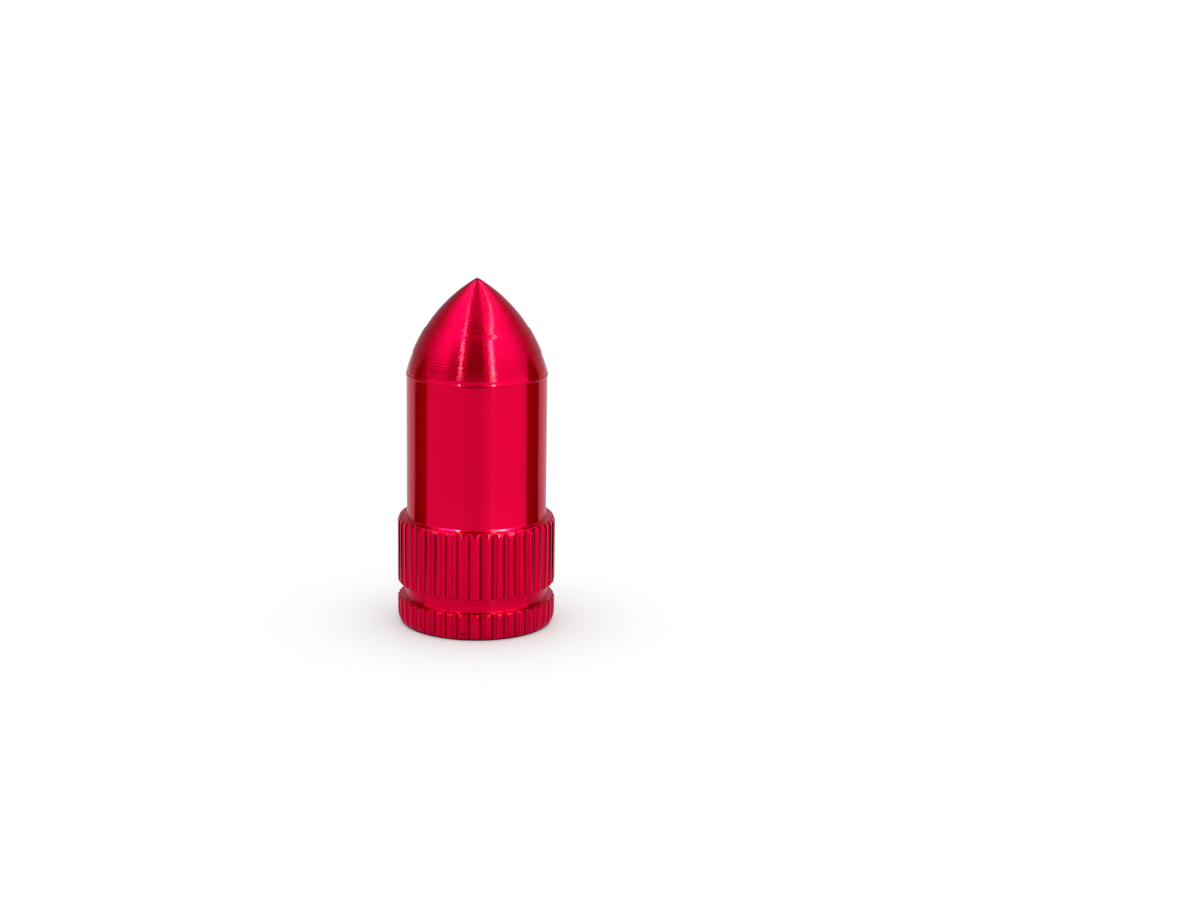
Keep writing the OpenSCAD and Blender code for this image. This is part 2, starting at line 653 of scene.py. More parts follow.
    def relief(self, bench: NodeBench, spot: Spot, rings: Value) -> Value:
        """The height of the fine marks over the smooth surface, in millimetres.

        Args:
            bench: the bench of the material.
            spot: the point of the surface.
            rings: the noise that the nose's rings follow.

        Returns:
            The relief: turning marks, their jagged edges, and the feed rings above the lip.
        """
        wander = bench.noise(spot.place, scale=0.5, detail=1.0)
        turns = (spot.height + self.ring_wander * wander) * (math.tau / self.ring_pitch)
        low, high = self.nose_foot - self.relief_fade, self.nose_foot + self.relief_fade
        nose = spot.height.ramp(low, high)
        feed = spot.height.ramp(self.nose_foot, self.nose_foot + self.feed_rise)
        feed = feed * spot.height.ramp(self.rings_high, self.rings_high - self.feed_fall)
        jags = self.jags.relief * self.jags.noise(bench, spot.place)
        marks = self.fine.relief * self.fine.noise(bench, spot.place)
        marks = marks + nose * (self.rings.relief * rings + jags)
        return marks + feed * turns.sine() * self.feed_relief


@dataclass(frozen=True)
class RubberFinish:
    """Matte black moulded rubber.

    Attributes:
        black: its colour.
        bloom: the colour of the pale bloom on it.
        bloom_span: where in the noise of its patches the bloom comes up.
        roughness: its mean roughness.
        roughness_change: how much the grain changes it.
        grain_scale: how fine the grain is, per millimetre.
        patch_scale: how fine the patches are.
        relief: how high the grain stands, in millimetres.
        bump: how strongly that relief shows.
    """

    black: Colour = (0.018, 0.018, 0.019)
    bloom: Colour = (0.05, 0.05, 0.052)
    bloom_span: Span = (0.45, 0.75)
    roughness: float = 0.62
    roughness_change: float = 0.15
    grain_scale: float = 9.0
    patch_scale: float = 0.9
    relief: float = 0.01
    bump: float = 0.6

    def material(self) -> bpy.types.Material:
        """Builds the material.

        Returns:
            The finished material.
        """
        material, bench = new_bench("seal_rubber")
        place = bench.place()
        grain = bench.noise(place, self.grain_scale, detail=4.0)
        patches = bench.noise(place, self.patch_scale, detail=3.0)
        surface = bench.principled(
            {
                "Base Color": bench.mix(patches.ramp(*self.bloom_span), self.black, self.bloom),
                "Roughness": self.roughness + self.roughness_change * (grain - MEAN_NOISE),
                "Normal": bench.bump(self.relief * grain, self.bump),
            }
        )
        bench.cover(surface)
        return material


@dataclass(frozen=True)
class FloorFinish:
    """A white sweep with a faint reflection, overexposed to the camera, and clear from below.

    Lengths are in millimetres.

    Attributes:
        white: the colour of the floor.
        middle_dim: its colour straight in front, as the metal reflects it, darkened as painted shade.
        dim: its colour in front on the left, as painted shade.
        right_dim: its colour in front on the right, brighter, as a painted pool of light.
        far_dim: its colour behind, as the metal's sides reflect it, darkened as painted shadow.
        middle: how far from the middle that colour gives way to the others.
        lit_right: how far to the right the right's colour comes up.
        lit_front: how far to the front it does.
        far: how far back the colour behind comes up.
        gloss: the share of it that reflects.
        roughness: the blur of that reflection.
        opening: radius of the hole under the cap that lets light into its mouth.
        opening_fade: how far outside it the hole fades out.
    """

    white: Colour = (0.925, 0.985, 0.985)
    middle_dim: Colour = (0.69, 0.25, 0.67)
    dim: Colour = (0.77, 0.29, 0.77)
    right_dim: Colour = (0.91, 0.32, 0.93)
    far_dim: Colour = (0.56, 0.52, 0.56)
    middle: Span = (4.0, 26.0)
    lit_right: Span = (8.0, 26.0)
    lit_front: Span = (-6.0, -22.0)
    far: Span = (-4.0, 8.0)
    gloss: float = 0.035
    roughness: float = 0.16
    opening: float = 5.0
    opening_fade: float = 0.1

    def material(self) -> bpy.types.Material:
        """Builds the material.

        Returns:
            The finished material.
        """
        material, bench = new_bench("white_floor")
        right, back, _ = bench.split(bench.place())
        # As the metal reflects it, the floor is painted: shade in front and behind, and a pool of light
        # in front on the right.
        colour = bench.mix(abs(right).ramp(*self.middle), self.middle_dim, self.dim)
        lit = right.ramp(*self.lit_right) * back.ramp(*self.lit_front)
        colour = bench.mix(lit, colour, self.right_dim)
        colour = bench.mix(back.ramp(*self.far), colour, self.far_dim)
        dim = bench.principled({"Base Color": colour, "Roughness": 1.0, "Specular IOR Level": 0.0})
        matte = bench.add("ShaderNodeBsdfDiffuse", None, {"Color": opaque(self.white)})
        sockets = {"Color": opaque((1.0, 1.0, 1.0)), "Roughness": self.roughness}
        shine = bench.add("ShaderNodeBsdfAnisotropic", None, sockets)
        clear = bench.add("ShaderNodeBsdfTransparent")
        away = right.hypotenuse(back)
        below = bench.add("ShaderNodeNewGeometry", output="Backfacing")
        below = below.higher(away.ramp(self.opening + self.opening_fade, self.opening))
        mirrored = bench.add("ShaderNodeLightPath", output="Is Glossy Ray")
        mixed = matte
        for share, other in ((mirrored, dim), (self.gloss, shine), (below, clear)):
            mixed = bench.add("ShaderNodeMixShader", None, {0: share, 1: mixed, 2: other})
        bench.cover(mixed)
        return material


@dataclass(frozen=True)
class SlotEdge:
    """A bright edge of the light tent's slot, with a softer light outside it.

    Attributes:
        out: the turn at which it stands near the floor.
        spread: how much farther out it stands overhead.
        spread_lean: the leans between which it moves there.
        line: half its width, and how far its sides fade.
        rise: the leans between which it comes up.
        glow: how far outside the edge the softer light lies, half its width, and its fade.
        glow_rise: the leans between which that light comes up.
    """

    out: float
    spread: float
    spread_lean: Span
    line: tuple[float, float]
    rise: Span
    glow: tuple[float, float, float]
    glow_rise: Span

    def lights(self, turn: Value, lean: Value) -> tuple[Value, Value]:
        """The two lights of the edge.

        Args:
            turn: how far a facet faces to the edge's side.
            lean: the sine of its slope upwards.

        Returns:
            The strengths of the bright edge and of the softer light, from 0 to 1.
        """
        past = turn - (self.out + self.spread * lean.ramp(*self.spread_lean))
        bright = past.band(0.0, *self.line) * lean.ramp(*self.rise)
        return bright, past.band(*self.glow) * lean.ramp(*self.glow_rise)


@dataclass(frozen=True)
class TentFinish:
    """The light tent that the metal reflects: bright walls, a dim slot, and two bright edges.

    The walls are laid out by the facet that mirrors them to a viewer in front: turn is how far the
    facet faces to the right, from -1 to 1, and lean is the sine of its slope upwards.

    Attributes:
        sight_lift: the height of that viewer, in degrees.
        wall: brightness of the walls.
        low_wall: brightness of the walls near the floor.
        wall_rise: the leans between which the walls brighten.
        left_share: the left wall's share of that brightness near the floor.
        left_rise: the leans between which the left wall comes up to the right one.
        rear_right: brightness behind on the right.
        rear_left: brightness behind on the left.
        right_fade: the turns between which the right wall gives way to what is behind.
        left_fade: the turns between which the left wall does.
        corner: turn, half width and fade of a dimmer corner in the left wall.
        corner_fall: the leans between which that corner ends.
        corner_dim: how much dimmer it is.
        seam: the turns between which the left wall meets the right one.
        slot_left: the turns between which the slot begins.
        slot_right: the turns between which it ends.
        slot_rise: the leans between which it brightens.
        slot_low: brightness of the slot near the floor.
        slot_high: brightness of the slot overhead.
        right_edge: the slot's edge on the right.
        left_edge: its edge on the left.
        edge_dimming: how much dimmer the edges are overhead.
        edge_dim_lean: the leans between which they dim.
        edge_end: the leans between which they end.
        edge_light: colour of the two edges, which turns pink on the red dye.
        glow_light: brightness of the softer light beside the slot.
        barrel_left: brightness near the horizon on the left, which only the barrel sees.
        barrel_middle: brightness there in front.
        barrel_right: brightness there on the right.
        barrel_left_turn: the turns between which the left's brightness comes up.
        barrel_right_turn: the turns between which the right's does.
        barrel_rear_turn: the turns between which both give way to what is behind.
        barrel_top: the leans between which the horizon gives way to the walls.
        panels: turn, half width and fade of the two panels overhead.
        panel_rise: the leans between which the panels begin.
        panel_fall: the leans between which they end.
        roof_light: colour of the panels, which only rounded edges see.
        rear_turn: the turns between which what is behind begins.
        rear_dimming: how much dimmer it is higher up.
        rear_dim_lean: the leans between which it dims.
        tint: how much green the walls give in front, as a share of the red.
        rear_tint: how much they give behind.
        rear_untint: how much less of that there is higher up.
        rear_tint_lean: the leans between which it falls off.
        blue: how much blue the dimmest walls give, as a share of the red.
        blue_gain: how much more the brightest walls give.
        blue_span: the brightness between which they differ.
        rear_blue: the share of that gain that all of what is behind has.
    """

    sight_lift: float = 10.8
    wall: float = 1.42
    low_wall: float = 0.95
    wall_rise: Span = (0.26, 0.46)
    left_share: float = 0.62
    left_rise: Span = (0.26, 0.42)
    rear_right: float = 0.52
    rear_left: float = 0.40
    right_fade: Span = (0.52, 0.90)
    left_fade: Span = (0.50, 0.92)
    corner: tuple[float, float, float] = (0.34, 0.02, 0.14)
    corner_fall: Span = (0.56, 0.44)
    corner_dim: float = 0.45
    seam: Span = (-0.02, 0.02)
    slot_left: Span = (-0.27, -0.11)
    slot_right: Span = (0.21, 0.06)
    slot_rise: Span = (0.30, 0.80)
    slot_low: float = 0.26
    slot_high: float = 0.74
    right_edge: SlotEdge = SlotEdge(
        out=0.235,
        spread=0.22,
        spread_lean=(0.46, 0.80),
        line=(0.014, 0.02),
        rise=(0.10, 0.20),
        glow=(0.10, 0.08, 0.06),
        glow_rise=(0.40, 0.55),
    )
    left_edge: SlotEdge = SlotEdge(
        out=0.245,
        spread=0.06,
        spread_lean=(0.60, 0.80),
        line=(0.006, 0.012),
        rise=(0.25, 0.34),
        glow=(0.13, 0.10, 0.08),
        glow_rise=(0.46, 0.56),
    )
    edge_dimming: float = 0.86
    edge_dim_lean: Span = (0.45, 0.82)
    edge_end: Span = (0.87, 0.83)
    edge_light: Colour = (2.6, 76.0, 10.0)
    glow_light: float = 0.5
    barrel_left: float = 1.1
    barrel_middle: float = 0.95
    barrel_right: float = 1.6
    barrel_left_turn: Span = (0.0, 0.3)
    barrel_right_turn: Span = (0.05, 0.3)
    barrel_rear_turn: Span = (0.75, 0.95)
    barrel_top: Span = (0.21, 0.26)
    panels: tuple[float, float, float] = (0.36, 0.13, 0.04)
    panel_rise: Span = (0.86, 0.90)
    panel_fall: Span = (0.985, 0.96)
    roof_light: Colour = (3.0, 12.0, 5.0)
    rear_turn: Span = (0.82, 0.94)
    rear_dimming: float = 0.1
    rear_dim_lean: Span = (0.24, 0.36)
    tint: float = 0.25
    rear_tint: float = 0.85
    rear_untint: float = 0.3
    rear_tint_lean: Span = (0.3, 0.6)
    blue: float = 0.35
    blue_gain: float = 0.9
    blue_span: Span = (0.25, 1.2)
    rear_blue: float = 0.5

    def material(self) -> bpy.types.Material:
        """Builds the material.

        Returns:
            The finished material.
        """
        material, bench = new_bench("light_tent")
        turn, lean = self.facet(bench)
        right, left = turn.higher(0.0), (0.0 - turn).higher(0.0)
        right_bright, right_glow = self.right_edge.lights(right, lean)
        left_bright, left_glow = self.left_edge.lights(left, lean)
        edges = (right_bright + left_bright) * lean.ramp(*self.edge_end)
        edges = edges * (1.0 - self.edge_dimming * lean.ramp(*self.edge_dim_lean))
        high = lean.ramp(*self.barrel_top)
        light = self.walls(turn, left, right, lean) + self.glow_light * (right_glow + left_glow)
        light = between(self.horizon(left, right), light, high)
        panels = abs(turn).band(*self.panels) * lean.ramp(*self.panel_rise)
        panels = panels * lean.ramp(*self.panel_fall)
        colour = self.coloured(bench, light, abs(turn).ramp(*self.rear_turn), lean)
        colour = self.tinted(bench, colour, edges * high, self.edge_light)
        colour = self.tinted(bench, colour, panels, self.roof_light)
        bench.cover(bench.add("ShaderNodeEmission", None, {"Color": colour}))
        return material

    def walls(self, turn: Value, left: Value, right: Value, lean: Value) -> Value:
        """The brightness of the walls and of the slot between them.

        Args:
            turn: how far the facet faces to the right.
            left: how far it faces to the left, or 0.
            right: how far it faces to the right, or 0.
            lean: the sine of its slope upwards.

        Returns:
            The brightness, without the bright edges.
        """
        wall = between(self.low_wall, self.wall, lean.ramp(*self.wall_rise))
        right_wall = between(wall, self.rear_right, right.ramp(*self.right_fade))
        shy = wall * between(self.left_share, 1.0, lean.ramp(*self.left_rise))
        left_wall = between(shy, self.rear_left, left.ramp(*self.left_fade))
        corner = left.band(*self.corner) * lean.ramp(*self.corner_fall)
        left_wall = left_wall * (1.0 - self.corner_dim * corner)
        walls = between(left_wall, right_wall, turn.ramp(*self.seam))
        slot = turn.ramp(*self.slot_left) * turn.ramp(*self.slot_right)
        dim = between(self.slot_low, self.slot_high, lean.ramp(*self.slot_rise))
        return between(walls, dim, slot)

    def horizon(self, left: Value, right: Value) -> Value:
        """The brightness near the horizon, which only the barrel sees.

        Args:
            left: how far the facet faces to the left, or 0.
            right: how far it faces to the right, or 0.

        Returns:
            The brightness.
        """
        middle = self.barrel_middle
        light = middle + (self.barrel_left - middle) * left.ramp(*self.barrel_left_turn)
        light = light + (self.barrel_right - middle) * right.ramp(*self.barrel_right_turn)
        rear = self.barrel_rear_turn
        light = light + (self.rear_right - self.barrel_right) * right.ramp(*rear)
        return light + (self.rear_left - self.barrel_left) * left.ramp(*rear)

    def coloured(self, bench: NodeBench, light: Value, rear: Value, lean: Value) -> Value:
        """Gives the walls their colour, which is reddish in front and paler behind.

        Args:
            bench: the bench of the material.
            light: their brightness.
            rear: 1 behind and 0 in front.
            lean: the sine of the facet's slope upwards.

        Returns:
            The colour of the light.
        """
        light = light * (1.0 - self.rear_dimming * rear * lean.ramp(*self.rear_dim_lean))
        pale = rear * (1.0 - self.rear_untint * lean.ramp(*self.rear_tint_lean))
        green = light * between(self.tint, self.rear_tint, pale)
        gain = light.ramp(*self.blue_span).higher(self.rear_blue * rear)
        blue = light * (self.blue + self.blue_gain * gain)
        return bench.add("ShaderNodeCombineXYZ", None, {0: light, 1: green, 2: blue})

    def tinted(self, bench: NodeBench, light: Value, share: Value, tint: Colour) -> Value:
        """Adds a coloured light.

        Args:
            bench: the bench of the material.
            light: the light so far.
            share: how much of the coloured light there is, from 0 to 1.
            tint: its colour.

        Returns:
            The two lights together.
        """
        sockets = {0: tint, "Scale": share}
        extra = bench.add("ShaderNodeVectorMath", {"operation": "SCALE"}, sockets)
        return bench.add("ShaderNodeVectorMath", {"operation": "ADD"}, {0: light, 1: extra})

    def facet(self, bench: NodeBench) -> tuple[Value, Value]:
        """Finds the facet that mirrors a point of the tent to the viewer.

        Args:
            bench: the bench of the material.

        Returns:
            The facet's turn and its lean.
        """
        lift = math.radians(self.sight_lift)
        sight = (0.0, -math.cos(lift), math.sin(lift))
        here = bench.add("ShaderNodeTexCoord", output="Object")
        way = bench.add("ShaderNodeVectorMath", {"operation": "NORMALIZE"}, {0: here})
        half = bench.add("ShaderNodeVectorMath", {"operation": "ADD"}, {0: way, 1: sight})
        facet = bench.add("ShaderNodeVectorMath", {"operation": "NORMALIZE"}, {0: half})
        right, back, lean = bench.split(facet)
        return right / right.hypotenuse(back).higher(LEAST_DIVISOR), lean


@dataclass(frozen=True)
class CardFinish:
    """A red card with a dark foot that gives the metal something to reflect at its sides: it glows, as a
    painted reflection of neighbouring red caps, and its foot is painted shade.

    Lengths are in millimetres.

    Attributes:
        red: the card's colour.
        far_red: its colour at the edge farther from the camera.
        far: how far back that colour comes up.
        foot: the colour of its foot, painted shade, which only the collar and the ring see.
        foot_high: height of the foot.
        foot_fade: how far above and below that height the foot fades.
    """

    red: Colour = (0.46, 0.002, 0.03)
    far_red: Colour = (0.26, 0.001, 0.01)
    far: Span = (-6.0, 5.0)
    foot: Colour = (0.02, 0.0002, 0.002)
    foot_high: float = 4.6
    foot_fade: float = 0.8

    def material(self) -> bpy.types.Material:
        """Builds the material.

        Returns:
            The finished material.
        """
        material, bench = new_bench("side_card")
        _, back, height = bench.split(bench.place())
        upper = height.ramp(self.foot_high - self.foot_fade, self.foot_high + self.foot_fade)
        red = bench.mix(back.ramp(*self.far), self.red, self.far_red)
        # Painted shade at the card's foot, under its glowing painted reflection.
        colour = bench.mix(upper, self.foot, red)
        bench.cover(bench.add("ShaderNodeEmission", None, {"Color": colour}))
        return material


# Modelling by hand


def deselect_everything() -> None:
    """Leaves nothing selected, so that the next operator acts on its own piece only."""
    bpy.ops.object.select_all(action="DESELECT")


def make_active(piece: bpy.types.Object) -> None:
    """Selects one piece alone and makes it the active one.

    Args:
        piece: the piece.
    """
    deselect_everything()
    piece.select_set(True)
    bpy.context.view_layer.objects.active = piece


def start_point(name: str, radius: float, height: float) -> bpy.types.Object:
    """Starts a piece as a single vertex and leaves it in edit mode.

    Args:
        name: the piece's name.
        radius: the vertex's distance from the axis.
        height: its height.

    Returns:
        The new piece, with its vertex selected.
    """
    deselect_everything()
    bpy.ops.mesh.primitive_plane_add(size=1.0, location=AXIS_POINT)
    piece = bpy.context.object
    piece.name = piece.data.name = name
    bpy.ops.object.mode_set(mode="EDIT")
    bpy.ops.mesh.select_mode(type="VERT")
    bpy.ops.mesh.select_all(action="SELECT")
    bpy.ops.mesh.merge(type="CENTER")
    bpy.ops.transform.translate(value=(radius, 0.0, height))
    return piece


def draw_section(name: str, section: list[Point]) -> bpy.types.Object:
    """Draws a section in the plane of X and Z, from its first point to its last.

    Args:
        name: the piece's name.
        section: the points, as radius and height.

    Returns:
        The piece, in edit mode.
    """
    piece = start_point(name, *section[0])
    for (radius, height), (next_radius, next_height) in zip(section, section[1:]):
        step = (next_radius - radius, 0.0, next_height - height)
        bpy.ops.mesh.extrude_vertices_move(TRANSFORM_OT_translate={"value": step})
    return piece


def merge_doubles() -> None:
    """Merges the vertices that lie on each other, in edit mode."""
    bpy.ops.mesh.select_all(action="SELECT")
    bpy.ops.mesh.remove_doubles(threshold=MERGE_DISTANCE)


def face_outwards() -> None:
    """Turns every face of a closed shape outwards, in edit mode."""
    bpy.ops.mesh.select_all(action="SELECT")
    bpy.ops.mesh.normals_make_consistent(inside=False)


def finish_edit() -> None:
    """Leaves edit mode."""
    bpy.ops.object.mode_set(mode="OBJECT")


def turn_section(name: str, section: list[Point], sides: int) -> bpy.types.Object:
    """Turns a closed round shape from its section, which starts and ends on the axis.

    Args:
        name: the piece's name.
        section: the points, as radius and height.
        sides: how many sides the circle has.

    Returns:
        The finished solid.
    """
    piece = draw_section(name, section)
    bpy.ops.mesh.select_all(action="SELECT")
    bpy.ops.mesh.spin(steps=sides, angle=math.tau, center=AXIS_POINT, axis=(0, 0, 1))
    merge_doubles()
    face_outwards()
    finish_edit()
    return piece


def apply_modifier(piece: bpy.types.Object, kind: str, **settings: object) -> None:
    """Adds a modifier with the given settings and applies it.

    Args:
        piece: the piece.
        kind: the modifier's type.
        settings: its properties.
    """
    make_active(piece)
    modifier = piece.modifiers.new(kind.lower(), kind)
    for name, value in settings.items():
        setattr(modifier, name, value)
    bpy.ops.object.modifier_apply(modifier=modifier.name)


def combine(piece: bpy.types.Object, tool: bpy.types.Object, joining: Joining) -> None:
    """Cuts a closed tool out of a closed piece, or fuses it on, and removes the tool.

    Args:
        piece: the piece that stays.
        tool: the tool.
        joining: whether to cut or to fuse.
    """
    apply_modifier(piece, "BOOLEAN", operation=joining.value, solver="MANIFOLD", object=tool)
    bpy.data.objects.remove(tool)


@dataclass(frozen=True)
class Corner:
    """A corner of a section, rounded over.

    Attributes:
        radius: its distance from the axis.
        height: its height.
        round_over: how far before and after the corner its rounding starts.
        steps: into how many parts the straight stretch that leads to it is divided.
    """

    radius: float
    height: float
    round_over: float = 0.0
    steps: int = 1

    def moved(self, out: float, up: float) -> Corner:
        """The same corner, farther out from the axis and farther up."""
        return replace(self, radius=self.radius + out, height=self.height + up)


def rounded_section(corners: list[Corner]) -> list[Point]:
    """The points of a section through rounded corners.

    Args:
        corners: the corners in order. The first and last are its ends and stay sharp.

    Returns:
        The points, as radius and height.
    """
    points: list[Point] = []
    last = len(corners) - 1
    for i, corner in enumerate(corners):
        here = Vector((corner.radius, corner.height))
        if corner.round_over and 0 < i < last:
            before = Vector((corners[i - 1].radius, corners[i - 1].height))
            after = Vector((corners[i + 1].radius, corners[i + 1].height))
            start = here + (before - here).normalized() * corner.round_over
            end = here + (after - here).normalized() * corner.round_over
            curve = []
            for k in range(ROUNDING_STEPS + 1):
                t = k / ROUNDING_STEPS
                curve.append(start * (1 - t) ** 2 + here * 2 * t * (1 - t) + end * t * t)
        else:
            curve = [here]
        if points:
            foot = Vector(points[-1])
            for k in range(1, corner.steps):
                points.append(tuple(foot.lerp(curve[0], k / corner.steps)))
        points.extend(tuple(p) for p in curve)
    return points


def arc(centre: Point, radius: float, start: float, end: float, steps: int) -> list[Point]:
    """The points of an arc.

    Args:
        centre: its centre.
        radius: its radius.
        start: the angle of its first point, in radians above the horizontal.
        end: the angle of its last point.
        steps: how many chords it has.

    Returns:
        The points, as radius and height.
    """
    angles = [start + (end - start) * k / steps for k in range(steps + 1)]
    return [(centre[0] + radius * math.cos(a), centre[1] + radius * math.sin(a)) for a in angles]


@dataclass
class Knurl:
    """The straight knurl of the collar and the ring, in millimetres and degrees.

    Attributes:
        teeth: how many teeth there are.
        depth: depth of the grooves.
        flank: half the angle of a tooth, from its rounded crest to the floor of the groove.
        rounding: how the flank steepens on its way down; 1 would leave it straight.
        stations: where the columns of faces stand down each flank, as shares of it.
    """

    teeth: int = TEETH
    depth: float = 0.20
    flank: float = 4.08
    rounding: float = 2.0
    stations: tuple[float, ...] = (0.22, 0.42, 0.58, 0.70, 0.80, 0.90, 1.0)

    @property
    def pitch(self) -> float:
        """The angle from tooth to tooth."""
        return 360.0 / self.teeth

    def columns(self) -> list[float]:
        """The angles across one tooth, from the middle of a groove to the middle of the next.

        Returns:
            The angles in degrees, measured from the middle of the tooth.
        """
        flank = [self.flank * share for share in self.stations]
        right = [0.0] + flank + [self.pitch / 2]
        return [-angle for angle in reversed(right)] + right[1:]

    def sink(self, angle: float) -> float:
        """How far below the crest the surface lies at an angle from the middle of the tooth."""
        return self.depth * min(abs(angle) / self.flank, 1.0) ** self.rounding


@dataclass
class ValveThread:
    """The thread inside the cap, which takes a car tyre valve, in millimetres.

    Attributes:
        pitch: from turn to turn, 32 to the inch.
        crest_radius: radius at the crests, which stand inwards.
        root_radius: radius at the roots.
        root_width: width of the flat at a root.
        crest_width: width of the flat at a crest.
        sides: how many faces one turn has.
        spare_turns: how many turns the tap has past each end before it is cut to length.
    """

    pitch: float = 25.4 / 32
    crest_radius: float = 3.5
    root_radius: float = 3.905
    root_width: float = 0.12
    crest_width: float = 0.21
    sides: int = 96
    spare_turns: int = 2

    def tap(self, low: float, high: float) -> bpy.types.Object:
        """Makes the solid that a tap sweeps: a threaded rod.

        Args:
            low: height of its lower end.
            high: height of its upper end.

        Returns:
            The rod.
        """
        flank = (self.pitch - self.root_width - self.crest_width) / 2
        start = low - self.spare_turns * self.pitch
        section = [
            (self.root_radius, start),
            (self.root_radius, start + self.root_width),
            (self.crest_radius, start + self.root_width + flank),
            (self.crest_radius, start + self.root_width + flank + self.crest_width),
            (self.root_radius, start + self.pitch),
        ]
        rod = draw_section("thread_tap", section)
        finish_edit()
        turns = math.ceil((high - low) / self.pitch) + 2 * self.spare_turns
        apply_modifier(
            rod,
            "SCREW",
            axis="Z",
            angle=math.tau,
            screw_offset=self.pitch,
            steps=self.sides,
            render_steps=self.sides,
            iterations=turns,
            use_merge_vertices=True,
            merge_threshold=MERGE_DISTANCE,
        )
        bpy.ops.object.mode_set(mode="EDIT")
        merge_doubles()
        for height, downwards in ((low, True), (high, False)):
            bpy.ops.mesh.select_all(action="SELECT")
            bpy.ops.mesh.bisect(
                plane_co=(0, 0, height),
                plane_no=(0, 0, 1),
                use_fill=True,
                clear_inner=downwards,
                clear_outer=not downwards,
                threshold=SLICE_DISTANCE,
            )
        face_outwards()
        finish_edit()
        return rod


